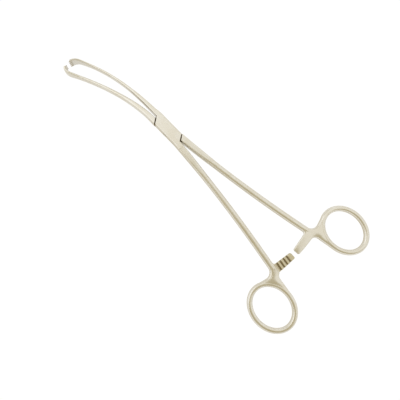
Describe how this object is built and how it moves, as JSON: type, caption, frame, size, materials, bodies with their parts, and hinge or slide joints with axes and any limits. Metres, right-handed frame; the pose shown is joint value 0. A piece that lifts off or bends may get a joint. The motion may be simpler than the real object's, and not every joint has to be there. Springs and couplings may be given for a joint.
{
  "type": "vulsellum forceps",
  "caption": "Long ring-handled forceps with a box lock, ratchet and slim side-curved jaws ending in interlocking hooked teeth.",
  "frame": {"origin": "on the pivot axis, at the flat underside of the box lock", "axes": "+Z along the pivot axis, out of the upper face; +Y from the pivot towards the jaws, along the line midway between the shanks; +X to the right, seen from above"},
  "size_m": [0.1042, 0.2378, 0.0084],
  "materials": {
    "satin_steel": "satin",
    "pin_steel": "satin"
  },
  "bodies": {
    "box_body": {"box_half": "satin_steel", "pivot_pin": "pin_steel"},
    "tongue_body": {"tongue_half": "satin_steel"}
  },
  "joints": [
    {"name": "jaw_pivot", "type": "hinge", "parent": "box_body", "child": "tongue_body", "pos_m": [0, 0, 0.0033], "axis": [0, 0, 1], "range_deg": [-2.2, 37.5]}
  ]
}
